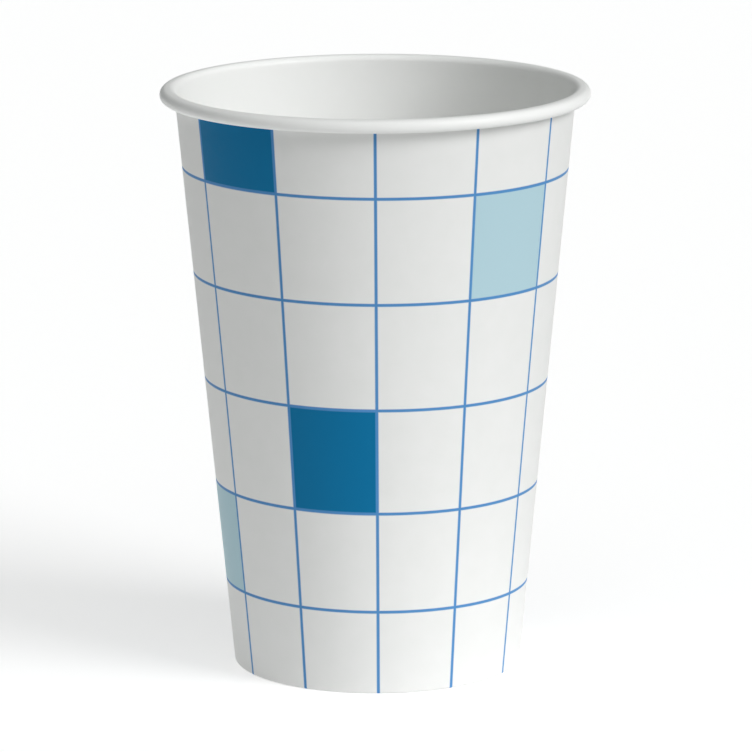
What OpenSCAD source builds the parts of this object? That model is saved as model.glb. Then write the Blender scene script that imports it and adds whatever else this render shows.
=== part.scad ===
// Paper cup for hot drinks, wound from a fan-shaped wall blank with a lapped side seam.
// The wall's top edge is rolled outwards into the rim. Its lower edge is folded in and up,
// and grips the turned-down skirt of a separate round bottom. The cup stands on that fold.
// Millimetres, +Z up, with the origin on the table in the middle of the foot.

/* [Cup] */
// Outer diameter over the rolled rim
rim_d = 80; // [70:0.5:100]
// Outer diameter of the wall where it meets the table
foot_d = 53.9; // [44:0.1:64]
// Height from the table to the top of the rim
cup_h = 109.4; // [70:0.2:160]

/* [Board] */
// Thickness of the wall board
wall_t = 0.35; // [0.2:0.05:0.5]
// Thickness of the bottom board
bottom_t = 0.3; // [0.2:0.05:0.6]
// Film of sealing between the bottom's skirt and each face of the wall
seal_gap = 0.02; // [0.01:0.01:0.05]

/* [Rolled rim] */
// Diameter of the roll's bends
roll_d = 2.6; // [2.4:0.1:4]
// Width of the flat that the rolling leaves between the inner and the outer bend
roll_flat = 0.5; // [0.1:0.1:1.5]
// Space between the turns of the roll
roll_gap = 0.1; // [0.05:0.05:0.3]
// How far the free edge is tucked up inside the roll, in degrees past one turn
roll_tuck = 70; // [20:5:90]

/* [Foot] */
// Depth of the recess under the bottom
recess_h = 7; // [4:0.5:12]
// Distance from the hem's free edge up to the bottom
hem_gap = 1; // [0.3:0.1:2]

/* [Side seam] */
// Direction of the seam's free edge, in degrees from +X towards +Y
seam_turn = 15; // [-180:5:180]
// Width of the lap at the foot
lap_w = 8; // [6:0.5:14]

/* [Hidden] */
$fn = 96;
board = [0.95, 0.95, 0.94];
foot_r = foot_d / 2;
roll_r = roll_d / 2;
// Middle of the roll's inner bend, as [radius, height] like every point of the section
roll_mid = [rim_d / 2 - roll_r - roll_flat, cup_h - roll_r];
// The wall's lean from upright, which makes its inner face a tangent of the roll
foot_to_roll = roll_mid - [foot_r, 0];
taper = acos((roll_r - wall_t) / norm(foot_to_roll)) - atan2(foot_to_roll[1], foot_to_roll[0]);
out = [cos(taper), -sin(taper)];
// Depths below the wall's outer face of the layers that are sealed together at the foot
skirt_depth = wall_t + seal_gap;
hem_depth = skirt_depth + bottom_t + seal_gap;
// The roll's inner bend and its tucked end share roll_mid. Its lower half is smaller.
under_r = roll_r - (wall_t + roll_gap) / 2;
under_mid = roll_mid + (roll_r - under_r) * out;
tuck_r = roll_r - wall_t - roll_gap;
flat_l = roll_flat / cos(taper);
// Angle that the lap takes up round the cup, and how steeply its board comes down after it
lap_turn = lap_w / foot_r * 180 / PI;
lap_slope = 15;

// Point of the section at height z and at a depth square to the wall's outer face
function in_wall(z, depth) = [foot_r + z * tan(taper) - depth / cos(taper), z];

// Rounded outside of a sharp fold, about its crease, with its ends inside the folded board
module fold(thickness, from, to) {
    grip = 30;
    reach = 4 * thickness;
    turns = [from + grip, (from + to) / 2, to - grip];
    intersection() {
        circle(thickness);
        polygon([[0, 0], for (turn = turns) reach * [cos(turn), sin(turn)]]);
    }
}

// Bend of the rim's roll to the right, by a quarter turn at most, with what follows at its end
module bend(r, turn) {
    reach = 2 * r;
    translate([r, 0]) {
        intersection() {
            difference() {
                circle(r);
                circle(r - wall_t);
            }
            translate([-reach, 0]) square([2 * reach, reach]);
            rotate(-turn) translate([-reach, -reach]) square([2 * reach, reach]);
        }
        rotate(-turn) translate([-r, 0]) children();
    }
}

// Flat of the roll, with what follows at its end
module flat() {
    square([wall_t, flat_l]);
    translate([0, flat_l]) children();
}

// Section of the wall blank: up the wall and round the rim, under the foot and up as the hem
module wall_section() {
    outer_crease = in_wall(wall_t, wall_t);
    inner_crease = in_wall(wall_t, hem_depth);
    wall_l = (roll_mid - outer_crease) * [sin(taper), cos(taper)];
    hem_l = (recess_h - hem_gap - wall_t) / cos(taper);
    translate(outer_crease) {
        rotate(-taper) {
            square([wall_t, wall_l]);
            translate([0, wall_l])
                bend(roll_r, 90) flat() bend(roll_r, 90)
                    bend(under_r, 90) flat() bend(under_r, 90) bend(tuck_r, roll_tuck);
        }
        fold(wall_t, -taper, -90);
    }
    translate([inner_crease[0], 0]) square([outer_crease[0] - inner_crease[0], wall_t]);
    translate(inner_crease) {
        fold(wall_t, -90, -180 - taper);
        rotate(-taper) translate([-wall_t, 0]) square([wall_t, hem_l]);
    }
}

// Second layer of board at the side seam, proud of the wall over the width of the lap. Past
// the covered edge of the layer below it comes down flat, and ends inside the wall.
module seam_lap() {
    top_z = under_mid[1] - under_r;
    run_out = 10;
    span = 4 * cup_h;
    rotate(seam_turn) intersection() {
        rotate_extrude(angle = lap_turn + run_out)
            polygon([in_wall(wall_t, wall_t / 2), in_wall(wall_t, -wall_t),
                     in_wall(top_z, -wall_t), in_wall(top_z, wall_t / 2)]);
        rotate(lap_turn) translate([in_wall(0, -wall_t)[0], 0, 0])
            rotate([0, taper, 0]) rotate(lap_slope) translate([-span / 2, 0, 0]) cube(span, center = true);
    }
}

module sidewall() {
    color(board) {
        rotate_extrude() wall_section();
        seam_lap();
    }
}

// Bottom: a disc whose edge is folded down into a skirt against the wall
module bottom() {
    crease = in_wall(recess_h, skirt_depth + bottom_t);
    skirt_l = (recess_h - skirt_depth - bottom_t * sin(taper)) / cos(taper);
    color(board) rotate_extrude() {
        translate([0, recess_h]) square([crease[0], bottom_t]);
        translate(crease) {
            fold(bottom_t, 90, -taper);
            rotate(-taper) translate([0, -skirt_l]) square([bottom_t, skirt_l]);
        }
    }
}

sidewall();
bottom();
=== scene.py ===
import math

import bpy
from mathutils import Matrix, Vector


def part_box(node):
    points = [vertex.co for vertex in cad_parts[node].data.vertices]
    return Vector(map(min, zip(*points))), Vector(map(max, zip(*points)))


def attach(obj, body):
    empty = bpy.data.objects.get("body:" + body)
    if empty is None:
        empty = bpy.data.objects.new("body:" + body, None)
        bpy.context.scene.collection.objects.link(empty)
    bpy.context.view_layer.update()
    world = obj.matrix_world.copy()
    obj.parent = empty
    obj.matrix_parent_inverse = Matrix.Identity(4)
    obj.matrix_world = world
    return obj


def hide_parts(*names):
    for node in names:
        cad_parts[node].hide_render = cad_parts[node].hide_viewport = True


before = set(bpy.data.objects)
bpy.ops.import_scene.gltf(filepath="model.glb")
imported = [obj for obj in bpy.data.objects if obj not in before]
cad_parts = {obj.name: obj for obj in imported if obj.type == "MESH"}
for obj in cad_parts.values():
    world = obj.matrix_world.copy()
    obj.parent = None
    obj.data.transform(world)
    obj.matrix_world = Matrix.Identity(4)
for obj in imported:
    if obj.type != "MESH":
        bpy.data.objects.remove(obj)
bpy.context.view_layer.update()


# Sidewall: a fan-shaped blank of coated board, printed on one face, wound round a mandrel and
# lapped at a heat-sealed side seam. Its top edge is rolled outwards into the rim, and its lower
# edge is folded in and up, so that it grips the skirt of the bottom.
wall_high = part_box("sidewall")[1]
rim_r = wall_high.x
cup_h = wall_high.z
foot_r = 0.02695
wall_t = 0.00035
bottom_t = 0.0003
seal_t = 0.00002
fold_r = wall_t + 0.00006
hem_top_z = 0.006
knurl_low_z = 0.0014
knurl_high_z = 0.005
knurl_fade = 0.0003
knurl_depth = 0.00014
knurl_rings = 3
roll_r = 0.0013
roll_flat = 0.0005
roll_gap = 0.0001
roll_tuck = math.radians(70)
seam_turn = math.radians(15)
ring_turn = math.radians(1.5)
round_rings = round(2 * math.pi / ring_turn)
lap_rings = 11

# The wall leans so that its inner face runs straight into the roll. Points of the section are
# drawn over the X axis, with the printed face as the line that is drawn.
roll_mid = Vector((rim_r - roll_r - roll_flat, 0, cup_h - roll_r))
foot_to_roll = roll_mid - Vector((foot_r, 0, 0))
wall_rise = math.atan2(foot_to_roll.z, foot_to_roll.x)
wall_lean = math.acos((roll_r - wall_t) / foot_to_roll.length) - wall_rise
outwards = Vector((math.cos(wall_lean), 0, -math.sin(wall_lean)))
under_r = roll_r - (wall_t + roll_gap) / 2
under_mid = roll_mid + (roll_r - under_r) * outwards
roll_start = roll_mid - (roll_r - wall_t) * outwards
hem_depth = 2 * wall_t + bottom_t + 2 * seal_t


def in_wall(z, depth):
    return Vector((foot_r + z * math.tan(wall_lean) - depth / math.cos(wall_lean), 0, z))


def line_by(step):
    bpy.ops.mesh.extrude_region_move(TRANSFORM_OT_translate={"value": step})


def turn_about(middle, turn, steps):
    bpy.ops.mesh.spin(steps=steps, angle=turn, center=middle, axis=(0, -1, 0))


hem_fold_mid = in_wall(fold_r, hem_depth - fold_r)
foot_fold_mid = in_wall(fold_r, fold_r)
hem_foot = hem_fold_mid - fold_r * outwards
wall_foot = foot_fold_mid + fold_r * outwards
hem_rows = (hem_top_z, knurl_high_z + knurl_fade, knurl_high_z, knurl_low_z, knurl_low_z - knurl_fade)
hem_points = [in_wall(z, hem_depth) for z in hem_rows] + [hem_foot]

# Rows of the wall, as shares of its height. They lie closer together at the foot and the rim.
foot_rows = [0, 0.004, 0.01, 0.02]
rim_rows = [0.975, 0.985, 0.995, 1]
even_rows = 24
even_step = (rim_rows[0] - foot_rows[-1]) / even_rows
wall_rows = foot_rows + [foot_rows[-1] + even_step * row for row in range(1, even_rows)] + rim_rows
wall_run = roll_start - wall_foot
flat_run = roll_flat / math.cos(wall_lean) * outwards
quarter = math.pi / 2
fold_steps = 6
bend_steps = 10
under_steps = 8
tuck_steps = 6

bpy.ops.object.select_all(action="DESELECT")
bpy.ops.mesh.primitive_plane_add(size=wall_t, location=hem_points[0])
bpy.ops.object.transform_apply(location=True)
sidewall = bpy.context.object
sidewall.name = "cup_sidewall"
bpy.ops.object.mode_set(mode="EDIT")
bpy.ops.mesh.select_mode(type="VERT")
bpy.ops.mesh.merge(type="CENTER")
for upper, lower in zip(hem_points, hem_points[1:]):
    line_by(lower - upper)
turn_about(hem_fold_mid, -quarter - wall_lean, fold_steps)
line_by((foot_fold_mid.x - hem_fold_mid.x, 0, 0))
turn_about(foot_fold_mid, wall_lean - quarter, fold_steps)
for low_row, high_row in zip(wall_rows, wall_rows[1:]):
    line_by((high_row - low_row) * wall_run)
turn_about(roll_mid, quarter, bend_steps)
line_by(flat_run)
turn_about(roll_mid + flat_run, quarter, bend_steps)
turn_about(under_mid + flat_run, quarter, under_steps)
line_by(-flat_run)
turn_about(under_mid, quarter, under_steps)
turn_about(roll_mid, roll_tuck, tuck_steps)

# The section is swept once round, and on past its start by the width of the lap.
bpy.ops.mesh.select_all(action="SELECT")
bpy.ops.object.mode_set(mode="OBJECT")
section_points = len(sidewall.data.vertices)
swept_rings = round_rings + lap_rings
bpy.ops.object.mode_set(mode="EDIT")
bpy.ops.mesh.spin(steps=swept_rings, angle=swept_rings * ring_turn, center=(0, 0, 0), axis=(0, 0, -1))
bpy.ops.mesh.select_all(action="SELECT")
bpy.ops.mesh.normals_make_consistent(inside=True)
bpy.ops.mesh.select_mode(type="FACE")
bpy.ops.mesh.select_all(action="DESELECT")
bpy.ops.object.mode_set(mode="OBJECT")

# At the lap the first rings are the outer layer. There they are wall only, from the foot to the
# roll, and lie one board further out. Past the covered edge they come down to the wall. The hem
# is pressed onto the skirt by a knurled wheel, which leaves upright ridges round it.
lap_low_z = 0.0004
lap_top_z = under_mid.z - under_r
lap_fade = 0.003
run_out = {lap_rings + 1: 0.55, lap_rings + 2: 0.15}
snug = 0.0001
lap_layer = sidewall.vertex_groups.new(name="lap_layer")
hem_ridges = sidewall.vertex_groups.new(name="hem_ridges")
lap_points = set()
for vertex in sidewall.data.vertices:
    ring = vertex.index // section_points
    z = vertex.co.z
    wall_depth = in_wall(z, 0).x - vertex.co.xy.length
    on_knurl = knurl_low_z - knurl_fade / 2 < z < knurl_high_z + knurl_fade / 2
    if wall_depth > wall_t and on_knurl and ring % knurl_rings:
        hem_ridges.add([vertex.index], 1, "REPLACE")
    if abs(wall_depth) > snug or not lap_low_z < z < lap_top_z:
        continue
    if ring <= lap_rings:
        lap_points.add(vertex.index)
        lap_layer.add([vertex.index], 1, "REPLACE")
    elif ring in run_out:
        to_end = min(z - lap_low_z, lap_top_z - z)
        lap_layer.add([vertex.index], run_out[ring] * min(1, to_end / lap_fade), "REPLACE")
for face in sidewall.data.polygons:
    rings = [corner // section_points for corner in face.vertices]
    face.select = max(rings) <= lap_rings and not lap_points.issuperset(face.vertices)
bpy.ops.object.mode_set(mode="EDIT")
bpy.ops.mesh.delete(type="FACE")
bpy.ops.object.mode_set(mode="OBJECT")
for group, height in (("lap_layer", wall_t + seal_t), ("hem_ridges", knurl_depth)):
    lift = sidewall.modifiers.new(group, "DISPLACE")
    lift.vertex_group = group
    lift.mid_level = 0
    lift.strength = height
    bpy.ops.object.modifier_apply(modifier=lift.name)
sidewall.vertex_groups.clear()


def tint(red, green, blue):
    return [((part / 255 + 0.055) / 1.055) ** 2.4 for part in (red, green, blue)] + [1]


def plug(tree, value, socket):
    if isinstance(value, bpy.types.NodeSocket):
        tree.links.new(value, socket)
    else:
        socket.default_value = value


def reckon(tree, operation, *values):
    node = tree.nodes.new("ShaderNodeMath")
    node.operation = operation
    for socket, value in zip(node.inputs, values):
        plug(tree, value, socket)
    return node.outputs[0]


def blend(tree, share, first, second):
    node = tree.nodes.new("ShaderNodeMix")
    node.data_type = "RGBA"
    for socket, value in ((node.inputs[0], share), (node.inputs[6], first), (node.inputs[7], second)):
        plug(tree, value, socket)
    return node.outputs[2]


def specks(tree, scale, detail=3):
    place = tree.nodes.new("ShaderNodeTexCoord")
    noise = tree.nodes.new("ShaderNodeTexNoise")
    noise.inputs["Scale"].default_value = scale
    noise.inputs["Detail"].default_value = detail
    tree.links.new(place.outputs["Object"], noise.inputs["Vector"])
    return noise.outputs["Fac"]


def board_finish(name, pale, shade, gloss, dullness, grain):
    """White paperboard: clouded in tone by its fibres, with a sheen and a fine grain."""
    dull_spread = 0.16
    grain_depth = 0.00004
    finish = bpy.data.materials.new(name)
    finish.use_nodes = True
    tree = finish.node_tree
    shader = tree.nodes["Principled BSDF"]
    shader.inputs["Specular IOR Level"].default_value = gloss
    cloud = specks(tree, scale=260)
    tree.links.new(blend(tree, cloud, pale, shade), shader.inputs["Base Color"])
    dull = reckon(tree, "MULTIPLY_ADD", specks(tree, scale=700), dull_spread, dullness - dull_spread / 2)
    tree.links.new(dull, shader.inputs["Roughness"])
    bump = tree.nodes.new("ShaderNodeBump")
    bump.inputs["Strength"].default_value = grain
    bump.inputs["Distance"].default_value = grain_depth
    tree.links.new(specks(tree, scale=1500, detail=4), bump.inputs["Height"])
    tree.links.new(bump.outputs["Normal"], shader.inputs["Normal"])
    return finish


# The print: a grid of thin lines, with a few of its fields filled in a deep or a pale blue.
# Columns count to the right from the line that faces the front, and rows up from the foot. The
# sheet is printed a little askew, so the rows fall to the right and the columns lean.
columns = 12
column_turn = 2 * math.pi / columns
column_shift = math.radians(0.39)
column_lean = math.radians(0.5) / cup_h
row_lines = (0.01597, 0.03498, 0.05473, 0.07469, 0.0945)
row_fall = 0.0075
line_w = 0.00057
line_soft = 0.0001
line_blue = tint(84, 145, 203)
deep_blue = tint(0, 114, 163)
pale_blue = tint(183, 214, 224)
deep_fields = ((-2, 5), (-1, 2), (4, 1), (-5, 3))
pale_fields = ((1, 4), (-3, 1), (5, 4), (-6, 2))

printed = board_finish("printed_board", pale=tint(243, 243, 242), shade=tint(238, 239, 237),
                       gloss=0.1, dullness=0.5, grain=0.25)
tree = printed.node_tree
shader = tree.nodes["Principled BSDF"]
board_colour = shader.inputs["Base Color"].links[0].from_socket
place = tree.nodes.new("ShaderNodeTexCoord")
split = tree.nodes.new("ShaderNodeSeparateXYZ")
tree.links.new(place.outputs["Object"], split.inputs[0])
x, y, z = split.outputs
radius = reckon(tree, "SQRT", reckon(tree, "MULTIPLY_ADD", x, x, reckon(tree, "MULTIPLY", y, y)))
angle = reckon(tree, "ARCTAN2", x, reckon(tree, "MULTIPLY", y, -1))
across = reckon(tree, "SUBTRACT", reckon(tree, "MULTIPLY_ADD", z, column_lean, angle), column_shift)
up = reckon(tree, "MULTIPLY_ADD", x, row_fall, z)
column = reckon(tree, "DIVIDE", across, column_turn)
in_column = reckon(tree, "FLOOR", column)
off_line = reckon(tree, "ABSOLUTE", reckon(tree, "SUBTRACT", column, reckon(tree, "ROUND", column)))
line_gap = reckon(tree, "MULTIPLY", reckon(tree, "MULTIPLY", off_line, column_turn), radius)
in_row = 0
for row_z in row_lines:
    above = reckon(tree, "SUBTRACT", up, row_z)
    line_gap = reckon(tree, "MINIMUM", line_gap, reckon(tree, "ABSOLUTE", above))
    in_row = reckon(tree, "ADD", in_row, reckon(tree, "GREATER_THAN", above, 0))
line_edge = tree.nodes.new("ShaderNodeMapRange")
line_edge.interpolation_type = "SMOOTHSTEP"
line_edge.inputs["From Min"].default_value = line_w / 2 + line_soft
line_edge.inputs["From Max"].default_value = line_w / 2 - line_soft
tree.links.new(line_gap, line_edge.inputs["Value"])


def filled(fields):
    """1 in the fields of the grid that are named by their column and row, and 0 elsewhere."""
    half = 0.5
    inside = 0
    for field_column, field_row in fields:
        same_column = reckon(tree, "COMPARE", in_column, field_column, half)
        same_row = reckon(tree, "COMPARE", in_row, field_row, half)
        inside = reckon(tree, "MAXIMUM", inside, reckon(tree, "MULTIPLY", same_column, same_row))
    return inside


# The part of the sheet that is folded in as the hem is left unprinted.
ink = blend(tree, filled(pale_fields), board_colour, pale_blue)
ink = blend(tree, filled(deep_fields), ink, deep_blue)
ink = blend(tree, line_edge.outputs["Result"], ink, line_blue)
wall_face = reckon(tree, "MULTIPLY_ADD", z, math.tan(wall_lean), foot_r)
on_hem = reckon(tree, "GREATER_THAN", reckon(tree, "SUBTRACT", wall_face, radius), wall_t)
tree.links.new(blend(tree, on_hem, ink, board_colour), shader.inputs["Base Color"])

coated = board_finish("coated_board", pale=tint(251, 251, 250), shade=tint(248, 249, 247),
                      gloss=0.3, dullness=0.42, grain=0.15)
cut_edge = board_finish("cut_board_edge", pale=tint(236, 232, 224), shade=tint(218, 212, 202),
                        gloss=0.1, dullness=0.8, grain=0.8)
crease_turn = math.radians(35)


def make_board(piece, thickness, finishes):
    """Gives a sheet its thickness behind its face, with finishes for face, back and cut edge."""
    for finish in finishes:
        piece.data.materials.append(finish)
    board = piece.modifiers.new("board", "SOLIDIFY")
    board.thickness = thickness
    board.offset = -1
    board.use_even_offset = True
    board.material_offset = 1
    board.material_offset_rim = 2
    bpy.ops.object.modifier_apply(modifier=board.name)
    bpy.ops.object.shade_smooth_by_angle(angle=crease_turn)


make_board(sidewall, wall_t, (printed, coated, cut_edge))
sidewall.rotation_euler.z = seam_turn
bpy.ops.object.transform_apply(rotation=True)
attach(sidewall, "root")
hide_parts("sidewall")


# Bottom: a round blank of the same coated board, stamped from the reel, with its edge drawn
# down into a skirt. The skirt is heat-sealed between the wall and the hem, above the table.
skirt_low, skirt_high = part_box("bottom")
bottom_r = skirt_high.x
bottom_z = skirt_high.z
skirt_foot_z = skirt_low.z
skirt_drop = bottom_z - skirt_foot_z
foot_share = 1 - skirt_drop * math.tan(wall_lean) / bottom_r
panel_edge = 0.0022
panel_step = 0.0009
panel_drop = 0.00012
panel_rings = 6
panel_ring_w = (bottom_r - panel_edge - panel_step) / (panel_rings + 1)
skirt_fold_steps = 5

bpy.ops.object.select_all(action="DESELECT")
bpy.ops.mesh.primitive_circle_add(vertices=round_rings, radius=bottom_r, fill_type="NGON",
                                  location=(0, 0, bottom_z))
bpy.ops.object.transform_apply(location=True)
bottom = bpy.context.object
bottom.name = "cup_bottom"
bpy.ops.object.mode_set(mode="EDIT")
bpy.ops.mesh.select_mode(type="FACE")
bpy.ops.mesh.inset(thickness=panel_edge)
bpy.ops.mesh.inset(thickness=panel_step)
bpy.ops.transform.translate(value=(0, 0, -panel_drop))
for ring in range(panel_rings):
    bpy.ops.mesh.inset(thickness=panel_ring_w)
bpy.ops.mesh.select_mode(type="EDGE")
bpy.ops.mesh.select_all(action="DESELECT")
bpy.ops.mesh.select_non_manifold()
bpy.ops.mesh.extrude_edges_move(TRANSFORM_OT_translate={"value": (0, 0, -skirt_drop)})
bpy.ops.transform.resize(value=(foot_share, foot_share, 1), center_override=(0, 0, skirt_foot_z))
bpy.ops.mesh.select_all(action="DESELECT")
bpy.ops.object.mode_set(mode="OBJECT")
for edge in bottom.data.edges:
    ends = [bottom.data.vertices[end].co for end in edge.vertices]
    on_top = all(end.z > bottom_z - panel_drop / 2 for end in ends)
    edge.select = on_top and all(end.xy.length > bottom_r - panel_edge / 2 for end in ends)
bpy.ops.object.mode_set(mode="EDIT")
bpy.ops.mesh.bevel(offset=bottom_t, segments=skirt_fold_steps, affect="EDGES")
bpy.ops.mesh.select_all(action="SELECT")
bpy.ops.mesh.normals_make_consistent(inside=False)
bpy.ops.object.mode_set(mode="OBJECT")
bare = board_finish("bare_board", pale=tint(240, 239, 235), shade=tint(232, 231, 226),
                    gloss=0.15, dullness=0.62, grain=0.4)
make_board(bottom, bottom_t, (coated, bare, cut_edge))
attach(bottom, "root")
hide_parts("bottom")


# Table top: a plain pale sheet that the cup stands on, which runs on out of sight behind it.
# It throws light back up at the cup, and shows as white to the camera but for the shadow.
table_size = 8
table_pale = tint(208, 208, 208)
camera_lift = 0.56
bpy.ops.object.select_all(action="DESELECT")
bpy.ops.mesh.primitive_plane_add(size=table_size)
table_top = bpy.context.object
table_top.name = "table_top"
pale_sheet = bpy.data.materials.new("pale_sheet")
pale_sheet.use_nodes = True
tree = pale_sheet.node_tree
shader = tree.nodes["Principled BSDF"]
shader.inputs["Base Color"].default_value = table_pale
shader.inputs["Roughness"].default_value = 0.9
shader.inputs["Specular IOR Level"].default_value = 0.1
shader.inputs["Emission Color"].default_value = (1, 1, 1, 1)
light_path = tree.nodes.new("ShaderNodeLightPath")
seen = reckon(tree, "MAXIMUM", light_path.outputs["Is Camera Ray"], light_path.outputs["Is Glossy Ray"])
seen = reckon(tree, "MAXIMUM", seen, light_path.outputs["Is Transmission Ray"])
tree.links.new(reckon(tree, "MULTIPLY", seen, camera_lift), shader.inputs["Emission Strength"])
table_top.data.materials.append(pale_sheet)


# Light: a soft lamp at the front right, a broad and weaker one above the front, a glow from the
# table at the shaded side, as from a white card, and a dim room that the camera sees as white.
def soft_lamp(name, turn, rise, strength, spread):
    lamp = bpy.data.lights.new(name, "SUN")
    lamp.energy = strength
    lamp.angle = math.radians(spread)
    stand = bpy.data.objects.new(name, lamp)
    bpy.context.scene.collection.objects.link(stand)
    turn, rise = math.radians(turn), math.radians(rise)
    level = math.cos(rise)
    comes_from = Vector((math.sin(turn) * level, -math.cos(turn) * level, math.sin(rise)))
    stand.rotation_euler = comes_from.to_track_quat("Z", "Y").to_euler()


soft_lamp("soft_key", turn=58, rise=31, strength=1.92, spread=30)
soft_lamp("top_fill", turn=10, rise=62, strength=0.68, spread=60)
glow = bpy.data.lights.new("table_glow", "AREA")
glow.shape = "DISK"
glow.size = 0.46
glow.energy = 0.21
glow_card = bpy.data.objects.new("table_glow", glow)
bpy.context.scene.collection.objects.link(glow_card)
glow_card.location = (-0.15, -0.07, 0.00005)
glow_card.rotation_euler.x = math.pi
glow_card.visible_camera = False

room_light = 0.19
room_tint = (0.95, 1, 0.98, 1)
room = bpy.data.worlds.new("room")
room.use_nodes = True
tree = room.node_tree
sky = tree.nodes["Background"]
light_path = tree.nodes.new("ShaderNodeLightPath")
seen = reckon(tree, "MAXIMUM", light_path.outputs["Is Camera Ray"], light_path.outputs["Is Transmission Ray"])
tree.links.new(blend(tree, seen, room_tint, (1, 1, 1, 1)), sky.inputs["Color"])
tree.links.new(reckon(tree, "MULTIPLY_ADD", seen, 1 - room_light, room_light), sky.inputs["Strength"])
bpy.context.scene.world = room


# Camera: a long lens in front of the cup, a little above its rim.
camera_far = 1.0035
camera_rise = math.radians(12.228)
camera_roll = math.radians(-0.212)
camera_aim = Vector((-0.00005, 0, 0.05427))
lens = bpy.data.cameras.new("camera")
lens.lens = 256.05
lens.sensor_width = 36
camera = bpy.data.objects.new("camera", lens)
bpy.context.scene.collection.objects.link(camera)
camera.location = camera_aim + camera_far * Vector((0, -math.cos(camera_rise), math.sin(camera_rise)))
camera.rotation_mode = "ZYX"
camera.rotation_euler = (math.pi / 2 - camera_rise, 0, camera_roll)
bpy.context.scene.camera = camera
bpy.context.scene.view_settings.view_transform = "Standard"
